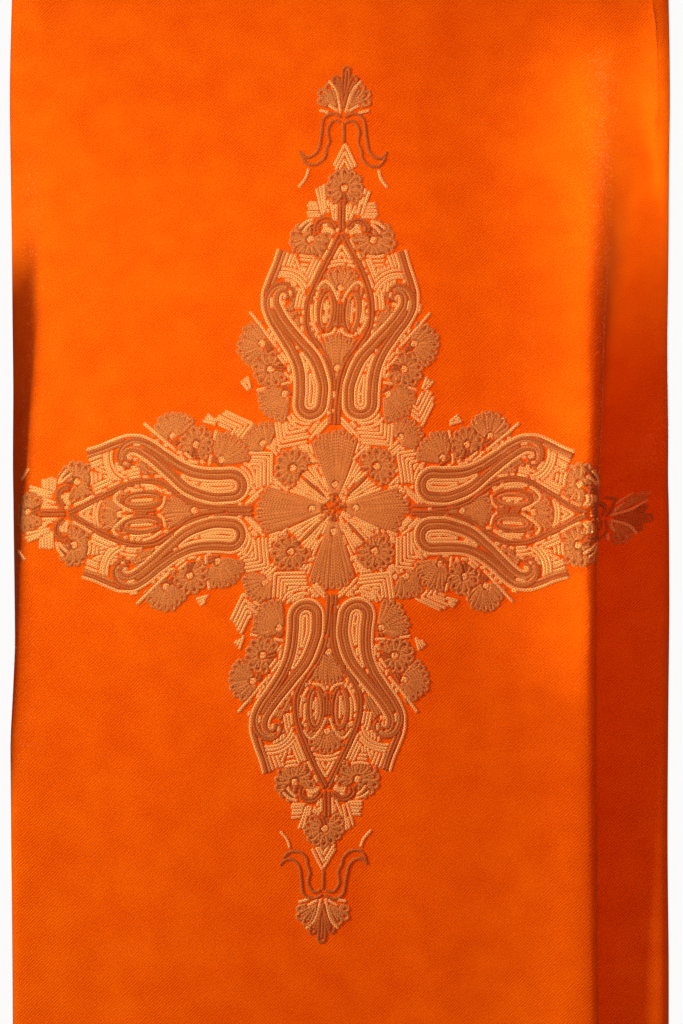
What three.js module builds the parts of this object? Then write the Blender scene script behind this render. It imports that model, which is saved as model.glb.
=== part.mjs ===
// A shawl of fine twill, folded in three lengthwise and hung over a round wooden rod.
// Millimetres, +Z up. The origin is the middle of the rod. The embroidered side faces -Y,
// +X is the viewer's right. One length of cloth makes every stretch: it runs up the front,
// over the rod and down the back.

import * as THREE from 'three';

// Driving dimensions
const shawl = { width: 1000, length: 2000, wall: 1 };
const rod = { radius: 16, length: 480, chamfer: 2, sides: 24 };
const seamGap = 0.3;

// The cloth's path over the rod is measured on the middle layer of cloth.
const middleLayer = rod.radius + 4;
const quarterTurn = middleLayer * Math.PI / 2;
const hemDepth = shawl.length / 2 - quarterTurn;

// Steps of the walls
const fallSteps = 19;
const rodSteps = 12;

// The cloth's cross-section at some depths below the rod's axis, front half and back half.
// out: how far a layer stands out from the rod's axis plane. crown: how far the panel's two
// halves curve back, in degrees. A pleat or side turns back by turn degrees over an arc of
// fold mm, and runs straight for run mm. foldX: the pleat's front edge. edgeX: the outline.
const columns = [
  'depth', 'panelOut', 'rightWingOut', 'leftWingOut', 'crown',
  'foldX', 'rightTurn', 'rightFold', 'rightRun', 'rightEdgeX',
  'leftTurn', 'leftFold', 'leftRun', 'leftEdgeX',
];
const frontRows = [
  [0, 23.4, 16.9, 20.1, 0, 130, 0, 14, 8, 178, 90, 1.9, 1, 178],
  [150, 30, 9, 15.5, 2, 140, 6, 14, 8, 183, 48, 5.2, 4, 178.5],
  [274, 39.5, 5, 12, 3.4, 150, 25, 14, 10, 186, 20, 9.8, 14, 181.3],
  [303, 42.5, 5, 12, 3.7, 146, 40, 14, 14, 186, 30, 10, 17, 181],
  [349, 48.5, 5, 12, 4, 143.5, 58, 14, 18, 186, 44, 10.4, 21, 180.5],
  [395, 54.5, 5, 12, 4.2, 141, 72, 13, 22, 186, 55, 10.5, 23, 180],
  [441, 59.5, 5, 12, 4.4, 140, 84, 12, 24, 186, 63, 10.5, 24, 179.5],
  [475, 62, 5, 12, 4.5, 139, 100, 12, 27, 186, 67, 10.5, 24, 179.5],
  [501, 62, 5, 12, 4.5, 138.8, 140, 12.2, 33.8, 186, 72, 10.4, 24, 179.2],
  [550, 59, 5, 12, 4.5, 138.8, 152, 11.5, 34, 186, 79, 10.6, 24, 179],
  [603, 55, 5, 12, 4.4, 139, 158, 11, 35, 185.5, 86, 10.5, 22, 178.8],
  [684, 50.5, 5, 13, 4.2, 140, 163, 11, 34, 185, 102, 10.2, 20, 178.5],
  [765, 47, 5, 13, 4, 141.5, 168, 10.3, 33.7, 185.5, 120, 10.2, 18, 178],
  [969, 43, 5, 12, 3.6, 143, 170, 10.4, 33.6, 185, 130, 10.2, 17, 177.5],
];
const backRows = [
  [0, 23.4, 16.9, 20.1, 0, 130, 0, 14, 8, 178, 90, 1.9, 1, 178],
  [200, 33, 6, 13, 2.4, 142, 18, 14, 10, 183, 40, 8, 10, 177],
  [450, 42, 5, 12, 3.6, 146, 42, 14, 16, 186, 60, 10, 16, 178],
  [700, 48, 5, 12, 4, 143, 60, 13, 20, 187, 75, 10, 17, 177],
  [969, 52, 5, 12, 4, 141, 68, 12, 22, 188, 80, 10, 17, 176],
];

// Long, low waves across the falls, the same for each layer so that the layers never meet.
const waves = [
  { height: 1.5, across: 47, down: 310, start: 0.4 },
  { height: 0.9, across: 29, down: -190, start: 1.7 },
];
const waveEase = 400;

// The wings' outer edges hang a little higher than the panel.
const wingLift = 9;

const radians = (degrees) => degrees * Math.PI / 180;

// The slope of one column at a row, zero at a turning point so that nothing overshoots
function slopeAt(rows, index, column) {
  if (index === 0 || index === rows.length - 1) return 0;
  const [before, here, after] = [rows[index - 1], rows[index], rows[index + 1]];
  const rise = (here[column] - before[column]) / (here[0] - before[0]);
  const next = (after[column] - here[column]) / (after[0] - here[0]);
  return rise * next > 0 ? 2 * rise * next / (rise + next) : 0;
}

// All columns at one depth, on smooth curves through the rows
function sectionAt(rows, depth) {
  const inside = Math.min(Math.max(depth, 0), rows[rows.length - 1][0]);
  let index = 0;
  while (index < rows.length - 2 && rows[index + 1][0] < inside) index += 1;
  const [low, high] = [rows[index], rows[index + 1]];
  const span = high[0] - low[0];
  const u = (inside - low[0]) / span;
  const section = {};
  columns.forEach((name, column) => {
    const lowSlope = slopeAt(rows, index, column) * span;
    const highSlope = slopeAt(rows, index + 1, column) * span;
    const change = high[column] - low[column];
    section[name] = low[column] + u * (lowSlope + u * (3 * change - 2 * lowSlope - highSlope
      + u * (lowSlope + highSlope - 2 * change)));
  });
  return section;
}

// How far an arc of a given length and turn moves across and back
function arcShift(length, start, turn) {
  if (Math.abs(turn) < 1e-6) return [length * Math.cos(start), length * Math.sin(start)];
  const radius = length / turn;
  return [
    radius * (Math.sin(start + turn) - Math.sin(start)),
    radius * (Math.cos(start) - Math.cos(start + turn)),
  ];
}

function totalShift(stretches) {
  let heading = 0;
  const total = [0, 0];
  for (const { length, turn } of stretches) {
    const shift = arcShift(length, heading, turn);
    total[0] += shift[0];
    total[1] += shift[1];
    heading += turn;
  }
  return total;
}

// The right half of the section, from the middle of the panel: panel, pleat, edge, wing
function rightStretches(section) {
  const crown = radians(section.crown);
  const turn = radians(section.rightTurn);
  const fold = section.rightFold;
  const foldRadius = fold / Math.max(turn, 0.05);
  const panel = section.foldX - Math.min(foldRadius * Math.sin(turn / 2), fold / 2);
  const stretches = [
    { name: 'panel', length: panel, turn: crown },
    { name: 'fold', length: fold, turn: turn - crown },
    { name: 'pleat', length: section.rightRun, turn: 0 },
    { name: 'unfold', length: fold, turn: -turn },
  ];
  const [across, back] = totalShift(stretches);
  const edgeRadius = (section.panelOut - back - section.rightWingOut) / 2;
  stretches.push({ name: 'rear', length: section.rightEdgeX - edgeRadius - across, turn: 0 });
  stretches.push({ name: 'edge', length: Math.PI * edgeRadius, turn: Math.PI });
  return withWing(stretches);
}

// The left half: panel, a side that turns back, edge, wing
function leftStretches(section) {
  const crown = radians(section.crown);
  const turn = radians(section.leftTurn);
  const foldRadius = section.leftFold / turn;
  const sine = Math.sin(turn);
  const stretches = [
    { name: 'panel', length: 0, turn: crown },
    { name: 'fold', length: section.leftFold, turn: turn - crown },
    { name: 'side', length: section.leftRun, turn: 0 },
  ];
  const edgeTurn = Math.PI - turn;
  // The panel's run to the left, with the edge's radius, is found from the outline's place.
  let edgeRadius = 1;
  for (let pass = 0; pass < 4; pass += 1) {
    const beyond = foldRadius * sine + section.leftRun * Math.cos(turn) + edgeRadius * (1 - sine);
    stretches[0].length = section.leftEdgeX - (turn < Math.PI / 2 ? beyond : foldRadius);
    const back = totalShift(stretches)[1];
    edgeRadius = (section.panelOut - back - section.leftWingOut) / (1 + Math.cos(turn));
  }
  stretches.push({ name: 'edge', length: edgeRadius * edgeTurn, turn: edgeTurn });
  return withWing(stretches);
}

function withWing(stretches) {
  const used = stretches.reduce((sum, stretch) => sum + stretch.length, 0);
  return [...stretches, { name: 'wing', length: shawl.width / 2 - used, turn: 0 }];
}

// Where a point of the half section lies: across from the middle, and back from the panel
function alongHalf(stretches, distance) {
  let heading = 0;
  let left = distance;
  const point = [0, 0];
  for (const { name, length, turn } of stretches) {
    const part = name === 'wing' ? left : Math.min(left, length);
    const shift = arcShift(part, heading, turn * part / length);
    point[0] += shift[0];
    point[1] += shift[1];
    left -= part;
    if (left <= 0) break;
    heading += turn;
  }
  return point;
}

function waveAt(across, depth) {
  const ease = Math.min(depth / waveEase, 1);
  const height = waves.reduce((sum, wave) => sum
    + wave.height * Math.sin(across / wave.across + depth / wave.down + wave.start), 0);
  return height * ease * ease;
}

// The section that holds a place along the cloth, which counts from over the rod, + to the front
function halfSection(along, side) {
  const depth = Math.max(Math.abs(along) - quarterTurn, 0);
  const section = sectionAt(along > 0 ? frontRows : backRows, depth);
  const stretches = side > 0 ? rightStretches(section) : leftStretches(section);
  return { depth, section, stretches };
}

// The point of the cloth's middle surface at a place across and along it
function clothPoint(across, along) {
  const side = across < 0 ? -1 : 1;
  const { depth, section, stretches } = halfSection(along, side);
  const [sideways, back] = alongHalf(stretches, Math.abs(across));
  const x = side * sideways;
  const out = section.panelOut - back + waveAt(x, depth);
  if (depth === 0) {
    const angle = along / middleLayer;
    return new THREE.Vector3(x, -out * Math.sin(angle), out * Math.cos(angle));
  }
  const lift = wingLift * (across / (shawl.width / 2)) ** 2 / hemDepth;
  return new THREE.Vector3(x, -out * Math.sign(along), -depth * (1 - lift));
}

function clothNormal(across, along) {
  const step = 0.2;
  const alongCloth = clothPoint(across, along + step).sub(clothPoint(across, along - step));
  const acrossCloth = clothPoint(across + step, along).sub(clothPoint(across - step, along));
  return alongCloth.cross(acrossCloth).normalize();
}

// A closed wall of cloth between two sides. stations(along) gives the places across the cloth.
function clothWall(from, to, steps, stations) {
  const rows = [];
  for (let i = 0; i <= steps; i += 1) {
    const along = from + (to - from) * i / steps;
    rows.push(stations(along).map((across) => {
      const point = clothPoint(across, along);
      const half = clothNormal(across, along).multiplyScalar(shawl.wall / 2);
      return [point.clone().add(half), point.clone().sub(half)];
    }));
  }
  const positions = [];
  const corner = (face, i, j) => positions.push(...rows[i][j][face].toArray());
  const quad = (a, b, c, d) => [a, b, c, a, c, d].forEach((vertex) => corner(...vertex));
  const across = rows[0].length - 1;
  for (let i = 0; i < steps; i += 1) {
    for (let j = 0; j < across; j += 1) {
      quad([0, i, j], [0, i + 1, j], [0, i + 1, j + 1], [0, i, j + 1]);
      quad([1, i, j], [1, i, j + 1], [1, i + 1, j + 1], [1, i + 1, j]);
    }
    quad([0, i, 0], [1, i, 0], [1, i + 1, 0], [0, i + 1, 0]);
    quad([0, i, across], [0, i + 1, across], [1, i + 1, across], [1, i, across]);
  }
  for (let j = 0; j < across; j += 1) {
    quad([0, 0, j], [0, 0, j + 1], [1, 0, j + 1], [1, 0, j]);
    quad([0, steps, j], [1, steps, j], [1, steps, j + 1], [0, steps, j + 1]);
  }
  const geometry = new THREE.BufferGeometry();
  geometry.setAttribute('position', new THREE.Float32BufferAttribute(positions, 3));
  geometry.computeVertexNormals();
  return geometry;
}

// Places across a half, from a start in one stretch to the end of another, with some steps
// in each stretch between them
function halfStations(along, side, plan) {
  const { stretches } = halfSection(along, side);
  const places = [];
  let start = 0;
  for (const { name, length } of stretches) {
    const share = plan[name];
    if (share) {
      const [low, high, steps] = share;
      for (let k = places.length ? 1 : 0; k <= steps; k += 1) {
        places.push(start + length * (low + (high - low) * k / steps));
      }
    }
    start += length;
  }
  places[0] += seamGap / 2;
  if (!plan.wing) places[places.length - 1] -= seamGap / 2;
  return side > 0 ? places : places.map((place) => -place).reverse();
}

// Each stretch of the section that a node covers: [start share, end share, steps]
const panelPlan = { panel: [0, 1, 4], fold: [0, 0.5, 2] };
const pleatPlan = {
  fold: [0.5, 1, 2], pleat: [0, 1, 1], unfold: [0, 1, 3], rear: [0, 1, 2], edge: [0, 1, 5],
};
const sidePlan = { fold: [0.5, 1, 2], side: [0, 1, 1], edge: [0, 1, 5] };
const wingPlan = { wing: [0, 1, 3] };
const overPlan = {
  panel: [0, 1, 1], fold: [0, 1, 1], pleat: [0, 1, 1], unfold: [0, 1, 1],
  side: [0, 1, 1], rear: [0, 1, 1], edge: [0, 1, 6], wing: [0, 1, 1],
};

// Both halves in one, joined in the middle of the panel
function bothHalves(along, plan) {
  const left = halfStations(along, -1, plan);
  const right = halfStations(along, 1, plan);
  return [...left.slice(0, -1), 0, ...right.slice(1)];
}

const orange = new THREE.MeshStandardMaterial({ color: 0xf06a14, roughness: 0.85, metalness: 0 });
const wood = new THREE.MeshStandardMaterial({ color: 0x9a6a3e, roughness: 0.5, metalness: 0 });

function clothMesh(name, from, to, steps, stations) {
  const mesh = new THREE.Mesh(clothWall(from, to, steps, stations), orange.clone());
  mesh.name = name;
  return mesh;
}

// The five stretches of one fall
function fallMeshes(name, facing) {
  const rodEnd = facing * (quarterTurn + seamGap / 2);
  const hem = facing * (shawl.length / 2);
  const [from, to] = facing > 0 ? [rodEnd, hem] : [hem, rodEnd];
  const half = (side, plan) => (along) => halfStations(along, side, plan);
  return [
    clothMesh(`${name}_panel`, from, to, fallSteps, (along) => bothHalves(along, panelPlan)),
    clothMesh(`${name}_right_pleat`, from, to, fallSteps, half(1, pleatPlan)),
    clothMesh(`${name}_right_wing`, from, to, fallSteps, half(1, wingPlan)),
    clothMesh(`${name}_left_side`, from, to, fallSteps, half(-1, sidePlan)),
    clothMesh(`${name}_left_wing`, from, to, fallSteps, half(-1, wingPlan)),
  ];
}

function overRodMesh() {
  const reach = quarterTurn - seamGap / 2;
  return clothMesh('over_rod', -reach, reach, rodSteps, (along) => bothHalves(along, overPlan));
}

function rodMesh() {
  const half = rod.length / 2;
  const profile = [
    [0, -half], [rod.radius - rod.chamfer, -half], [rod.radius, rod.chamfer - half],
    [rod.radius, half - rod.chamfer], [rod.radius - rod.chamfer, half], [0, half],
  ].map(([radius, height]) => new THREE.Vector2(radius, height));
  const mesh = new THREE.Mesh(new THREE.LatheGeometry(profile, rod.sides), wood);
  mesh.name = 'rod';
  mesh.rotation.z = -Math.PI / 2;
  return mesh;
}

const shawlOnRod = new THREE.Group();
shawlOnRod.add(rodMesh(), overRodMesh(), ...fallMeshes('front', 1), ...fallMeshes('back', -1));

export default shawlOnRod;
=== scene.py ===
# A shawl of fine orange twill with a chain-stitched medallion, folded in three lengthwise and
# hung over a round wooden rod. The tables and the design are in millimetres, the scene in metres.

import math

import bpy
import numpy as np
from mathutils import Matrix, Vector


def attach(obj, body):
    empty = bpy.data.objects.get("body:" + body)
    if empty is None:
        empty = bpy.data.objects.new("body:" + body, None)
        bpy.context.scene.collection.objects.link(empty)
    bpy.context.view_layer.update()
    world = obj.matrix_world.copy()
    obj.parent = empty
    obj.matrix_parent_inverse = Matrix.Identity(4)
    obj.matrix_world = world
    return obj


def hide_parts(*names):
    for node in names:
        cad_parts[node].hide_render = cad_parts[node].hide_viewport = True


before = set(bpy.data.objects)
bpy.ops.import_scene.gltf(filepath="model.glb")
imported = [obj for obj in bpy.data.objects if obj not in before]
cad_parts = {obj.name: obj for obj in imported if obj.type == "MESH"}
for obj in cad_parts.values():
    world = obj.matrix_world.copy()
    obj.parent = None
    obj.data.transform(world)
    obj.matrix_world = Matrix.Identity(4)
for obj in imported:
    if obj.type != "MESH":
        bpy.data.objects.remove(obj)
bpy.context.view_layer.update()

MM = 0.001

# The shawl and its rod
SHAWL_WIDTH = 1000
SHAWL_LENGTH = 2000
WALL = 1.0
ROD_RADIUS = 16
MIDDLE_LAYER = ROD_RADIUS + 4
QUARTER_TURN = MIDDLE_LAYER * math.pi / 2
HEM_DEPTH = SHAWL_LENGTH / 2 - QUARTER_TURN
WING_LIFT = 9

# The folds of the two falls at some depths below the rod, as the solids have them
COLUMNS = (
    "depth", "panel_out", "right_wing_out", "left_wing_out", "crown",
    "fold_x", "right_turn", "right_fold", "right_run", "right_edge_x",
    "left_turn", "left_fold", "left_run", "left_edge_x",
)
OVER_ROD = (0, 23.4, 16.9, 20.1, 0, 130, 0, 14, 8, 178, 90, 1.9, 1, 178)
FRONT_ROWS = np.array([
    OVER_ROD,
    (150, 30, 9, 15.5, 2, 140, 6, 14, 8, 183, 48, 5.2, 4, 178.5),
    (274, 39.5, 5, 12, 3.4, 150, 25, 14, 10, 186, 20, 9.8, 14, 181.3),
    (303, 42.5, 5, 12, 3.7, 146, 40, 14, 14, 186, 30, 10, 17, 181),
    (349, 48.5, 5, 12, 4, 143.5, 58, 14, 18, 186, 44, 10.4, 21, 180.5),
    (395, 54.5, 5, 12, 4.2, 141, 72, 13, 22, 186, 55, 10.5, 23, 180),
    (441, 59.5, 5, 12, 4.4, 140, 84, 12, 24, 186, 63, 10.5, 24, 179.5),
    (475, 62, 5, 12, 4.5, 139, 100, 12, 27, 186, 67, 10.5, 24, 179.5),
    (501, 62, 5, 12, 4.5, 138.8, 140, 12.2, 33.8, 186, 72, 10.4, 24, 179.2),
    (550, 59, 5, 12, 4.5, 138.8, 152, 11.5, 34, 186, 79, 10.6, 24, 179),
    (603, 55, 5, 12, 4.4, 139, 158, 11, 35, 185.5, 86, 10.5, 22, 178.8),
    (684, 50.5, 5, 13, 4.2, 140, 163, 11, 34, 185, 102, 10.2, 20, 178.5),
    (765, 47, 5, 13, 4, 141.5, 168, 10.3, 33.7, 185.5, 120, 10.2, 18, 178),
    (969, 43, 5, 12, 3.6, 143, 170, 10.4, 33.6, 185, 130, 10.2, 17, 177.5),
])
BACK_ROWS = np.array([
    OVER_ROD,
    (200, 33, 6, 13, 2.4, 142, 18, 14, 10, 183, 40, 8, 10, 177),
    (450, 42, 5, 12, 3.6, 146, 42, 14, 16, 186, 60, 10, 16, 178),
    (700, 48, 5, 12, 4, 143, 60, 13, 20, 187, 75, 10, 17, 177),
    (969, 52, 5, 12, 4, 141, 68, 12, 22, 188, 80, 10, 17, 176),
])

# Long, low waves: height, and how far across and down one radian reaches
WAVES = ((1.5, 47, 310, 0.4), (0.9, 29, -190, 1.7))
WAVE_EASE = 400

# Soft creases: place across the cloth, depths of their ends, half width, height.
# Each rises and dies out over a share of its length, and sways a little on its way down.
CREASE_EASE = 0.35
CREASE_SWAY = 5
CREASE_SWAY_REACH = 130
CREASES = (
    (136, 20, 1250, 15, 3.0),
    (84, 20, 1200, 34, -3.2),
    (200, 430, 1300, 12, 2.0),
    (229, 430, 1300, 11, -2.4),
    (-158, 150, 420, 9, -1.2),
    (-96, 560, 940, 16, 0.8),
    (-30, 90, 300, 22, -0.7),
    (24, 620, 950, 13, -0.9),
    (58, 640, 960, 17, 0.8),
    (92, 120, 330, 20, 0.8),
    (214, 300, 760, 9, -0.9),
    (232, 520, 940, 7, 0.7),
)
BACK_CREASES = (
    (-110, 120, 520, 14, -1.0),
    (-64, 500, 930, 18, 0.9),
    (12, 210, 760, 15, -0.8),
    (74, 80, 420, 19, 0.9),
    (118, 430, 900, 12, -1.1),
)

# The photo's size, its scale at the panel and the pixel of the medallion's middle, with the
# depth of that middle below the rod and how far out the panel is there
PHOTO_SIZE = (683, 1024)
MM_PER_PIXEL = 0.54
MEDALLION_PIXEL = (336, 510)
MEDALLION_DEPTH = 500
PANEL_OUT = 60
LENS = 85
SENSOR = 36

# A fold that turns less than this, in radians, is shaped as if it turned this much
LEAST_TURN = 0.05


def slope_at(rows, index):
    """The slopes of all columns at a row, zero where a column turns."""
    if index in (0, len(rows) - 1):
        return np.zeros(rows.shape[1])
    rise = (rows[index] - rows[index - 1]) / (rows[index][0] - rows[index - 1][0])
    following = (rows[index + 1] - rows[index]) / (rows[index + 1][0] - rows[index][0])
    same_way = rise * following > 0
    total = np.where(same_way, rise + following, 1)
    return np.where(same_way, 2 * rise * following / total, 0)


def section_at(rows, depth):
    """All columns at one depth, on smooth curves through the rows."""
    inside = min(max(depth, 0), rows[-1][0])
    index = max(int(np.searchsorted(rows[:, 0], inside)) - 1, 0)
    low, high = rows[index], rows[index + 1]
    span = high[0] - low[0]
    u = (inside - low[0]) / span
    low_slope = slope_at(rows, index) * span
    high_slope = slope_at(rows, index + 1) * span
    change = high - low
    cubic = low_slope + high_slope - 2 * change
    values = low + u * (low_slope + u * (3 * change - 2 * low_slope - high_slope + u * cubic))
    return dict(zip(COLUMNS, values))


def arc_shift(length, start, rate):
    """How far an arc moves across and back. rate is its turn for each millimetre."""
    if abs(rate) < 1e-7:
        return length * math.cos(start), length * math.sin(start)
    end = start + length * rate
    return (np.sin(end) - math.sin(start)) / rate, (math.cos(start) - np.cos(end)) / rate


def total_shift(stretches):
    """How far across and back some stretches reach."""
    heading = across = back = 0.0
    for _, length, turn in stretches:
        shift = arc_shift(length, heading, turn / length if length else 0)
        across += shift[0]
        back += shift[1]
        heading += turn
    return across, back


def right_stretches(section):
    """The right half of a section: panel, pleat, edge and wing, as (name, length, turn)."""
    crown = math.radians(section["crown"])
    turn = math.radians(section["right_turn"])
    fold = section["right_fold"]
    fold_radius = fold / max(turn, LEAST_TURN)
    panel = section["fold_x"] - min(fold_radius * math.sin(turn / 2), fold / 2)
    stretches = [
        ("panel", panel, crown),
        ("fold", fold, turn - crown),
        ("pleat", section["right_run"], 0),
        ("unfold", fold, -turn),
    ]
    across, back = total_shift(stretches)
    edge_radius = (section["panel_out"] - back - section["right_wing_out"]) / 2
    stretches.append(("rear", section["right_edge_x"] - edge_radius - across, 0))
    stretches.append(("edge", math.pi * edge_radius, math.pi))
    return with_wing(stretches)


def left_stretches(section):
    """The left half: panel, a side that turns back, edge and wing."""
    crown = math.radians(section["crown"])
    turn = math.radians(section["left_turn"])
    run = section["left_run"]
    fold_radius = section["left_fold"] / turn
    sine = math.sin(turn)
    bend = [("fold", section["left_fold"], turn - crown), ("side", run, 0)]
    edge_radius = 1
    # The panel's length and the edge's radius depend on each other and settle in a few rounds.
    for _ in range(4):
        beyond = fold_radius * sine + run * math.cos(turn) + edge_radius * (1 - sine)
        panel = section["left_edge_x"] - (beyond if turn < math.pi / 2 else fold_radius)
        stretches = [("panel", panel, crown)] + bend
        back = total_shift(stretches)[1]
        edge_radius = (section["panel_out"] - back - section["left_wing_out"]) / (1 + math.cos(turn))
    edge_turn = math.pi - turn
    return with_wing(stretches + [("edge", edge_radius * edge_turn, edge_turn)])


def with_wing(stretches):
    """The stretches with the rest of the half width as the wing."""
    used = sum(length for _, length, _ in stretches)
    return stretches + [("wing", SHAWL_WIDTH / 2 - used, 0)]


def along_half(stretches, distances):
    """Where points of a half section lie: across from the middle, and back from the panel."""
    across = np.zeros_like(distances)
    back = np.zeros_like(distances)
    heading = base_across = base_back = start = 0.0
    for name, length, turn in stretches:
        reached = distances >= start
        rest = distances[reached] - start
        part = rest if name == "wing" else np.minimum(rest, length)
        shift = arc_shift(part, heading, turn / length)
        across[reached] = base_across + shift[0]
        back[reached] = base_back + shift[1]
        whole = arc_shift(length, heading, turn / length)
        base_across += whole[0]
        base_back += whole[1]
        heading += turn
        start += length
    return across, back


def smooth(value):
    value = np.clip(value, 0, 1)
    return value * value * (3 - 2 * value)


def half_section(along, side):
    """Depth, section and stretches at a place along the cloth, which is + in front."""
    depth = max(abs(along) - QUARTER_TURN, 0)
    section = section_at(FRONT_ROWS if along > 0 else BACK_ROWS, depth)
    stretches = right_stretches(section) if side > 0 else left_stretches(section)
    return depth, section, stretches


def cloth_row(across, along):
    """Points of the cloth's middle surface for places across it, at one place along it."""
    points = np.zeros((len(across), 3))
    for side in (-1, 1):
        chosen = across < 0 if side < 0 else across >= 0
        depth, section, stretches = half_section(along, side)
        sideways, back = along_half(stretches, np.abs(across[chosen]))
        x = side * sideways
        ease = min(depth / WAVE_EASE, 1) ** 2
        wave = sum(height * np.sin(x / reach + depth / down + start)
                   for height, reach, down, start in WAVES)
        out = section["panel_out"] - back + wave * ease
        if depth == 0:
            angle = along / MIDDLE_LAYER
            points[chosen] = np.stack((x, -out * math.sin(angle), out * math.cos(angle)), 1)
            continue
        lift = WING_LIFT * (across[chosen] / (SHAWL_WIDTH / 2)) ** 2 / HEM_DEPTH
        points[chosen] = np.stack((x, -out * np.sign(along), -depth * (1 - lift)), 1)
    return points


def crease_row(across, along):
    """How far the creases lift the cloth at one place along it."""
    depth = abs(along) - QUARTER_TURN
    height = np.zeros_like(across)
    for place, top, bottom, half_width, rise in CREASES if along > 0 else BACK_CREASES:
        ease = CREASE_EASE * (bottom - top)
        ends = smooth((depth - top) / ease) * smooth((bottom - depth) / ease)
        sway = CREASE_SWAY * math.sin(depth / CREASE_SWAY_REACH + place)
        height += rise * ends * np.exp(-((across - place - sway) / half_width) ** 2)
    return height


def normal_row(across, along):
    """The normals of the cloth without its creases."""
    step = 0.2
    along_cloth = cloth_row(across, along + step) - cloth_row(across, along - step)
    across_cloth = cloth_row(across + step, along) - cloth_row(across - step, along)
    normal = np.cross(along_cloth, across_cloth)
    return normal / np.linalg.norm(normal, axis=1)[:, None]


def surface_row(across, along):
    """Points of the middle surface with its creases, and the normals out of the cloth."""
    normals = normal_row(across, along)
    return cloth_row(across, along) + normals * crease_row(across, along)[:, None], normals


def add_mesh(name, points, faces, uvs=None, uv_name="cloth", rounded=True):
    """A mesh object from arrays: points in millimetres, and uvs, one for each point. A face
    whose last two corners are one is a triangle."""
    sides = faces.shape[1] - (faces[:, -2] == faces[:, -1])
    corners = faces[np.arange(faces.shape[1]) < sides[:, None]].astype(np.int32)
    starts = np.concatenate(([0], np.cumsum(sides)[:-1])).astype(np.int32)
    mesh = bpy.data.meshes.new(name)
    mesh.vertices.add(len(points))
    mesh.vertices.foreach_set("co", (points * MM).ravel())
    mesh.loops.add(len(corners))
    mesh.loops.foreach_set("vertex_index", corners)
    mesh.polygons.add(len(faces))
    mesh.polygons.foreach_set("loop_start", starts)
    mesh.polygons.foreach_set("use_smooth", np.full(len(faces), rounded))
    if uvs is not None:
        mesh.uv_layers.new(name=uv_name).data.foreach_set("uv", uvs[corners].ravel())
    mesh.update()
    obj = bpy.data.objects.new(name, mesh)
    bpy.context.collection.objects.link(obj)
    return obj


# Steps of the cloth's mesh: in number across each stretch of its right and its left half, and
# in millimetres along it
HALF_STEPS = {
    1: (34, 6, 4, 6, 10, 9, 12),
    -1: (34, 6, 5, 9, 18),
}
FALL_STEP = 9.0
ROD_STEP = 2.6
PAST_ROD = 12
# The hem: how much is turned up, how much thicker it is there, and its rounded end
HEM_TURNING = 5
HEM_EXTRA = 0.5
HEM_ROUND = 0.4


def half_places(along, side):
    """Places of the net across one half, from the middle to the selvedge."""
    stretches = half_section(along, side)[2]
    places = [0.0]
    start = 0.0
    for steps, (_, length, _) in zip(HALF_STEPS[side], stretches):
        places += [start + length * k / steps for k in range(1, steps + 1)]
        start += length
    places[-1] = SHAWL_WIDTH / 2
    return np.array(places)


def along_places():
    """Places along the cloth, closer over the rod and at the turned hems."""
    half = SHAWL_LENGTH / 2
    hem = [half - HEM_TURNING - 1, half - HEM_TURNING, half - HEM_ROUND, half]
    over = np.arange(0, QUARTER_TURN + PAST_ROD, ROD_STEP)
    count = round((hem[0] - over[-1]) / FALL_STEP)
    fall = np.linspace(over[-1], hem[0], count + 1)[1:]
    front = np.concatenate((over, fall, hem[1:]))
    return np.concatenate((-front[:0:-1], front))


def wall_half(along):
    """Half of the cloth's thickness, more where the hem is turned up, and round at its end."""
    into = SHAWL_LENGTH / 2 - abs(along)
    if into < HEM_ROUND / 2:
        return WALL / 4
    return WALL / 2 + (HEM_EXTRA / 2 if into <= HEM_TURNING else 0)


def build_shawl():
    """The cloth as one closed wall: its outer face, its inner face and its four edges."""
    alongs = along_places()
    outer, inner, uvs = [], [], []
    for along in alongs:
        across = np.concatenate((-half_places(along, -1)[:0:-1], half_places(along, 1)))
        points, normals = surface_row(across, along)
        half = normals * wall_half(along)
        outer.append(points + half)
        inner.append(points - half)
        uvs.append(np.stack((across, np.full(len(across), along)), 1) * MM)
    rows, count = len(alongs), len(outer[0])
    points = np.concatenate(outer + inner)
    uvs = np.concatenate(uvs + uvs)
    grid = np.arange(rows * count).reshape(rows, count)
    under = grid + rows * count
    faces = [
        quads(grid[:-1, :-1], grid[1:, :-1], grid[1:, 1:], grid[:-1, 1:]),
        quads(under[:-1, :-1], under[:-1, 1:], under[1:, 1:], under[1:, :-1]),
        quads(grid[:-1, 0], under[:-1, 0], under[1:, 0], grid[1:, 0]),
        quads(grid[:-1, -1], grid[1:, -1], under[1:, -1], under[:-1, -1]),
        quads(grid[0, :-1], grid[0, 1:], under[0, 1:], under[0, :-1]),
        quads(grid[-1, :-1], under[-1, :-1], under[-1, 1:], grid[-1, 1:]),
    ]
    return add_mesh("shawl_cloth", points, np.concatenate(faces), uvs)


def quads(a, b, c, d):
    return np.stack((a.ravel(), b.ravel(), c.ravel(), d.ravel()), 1)


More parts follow.
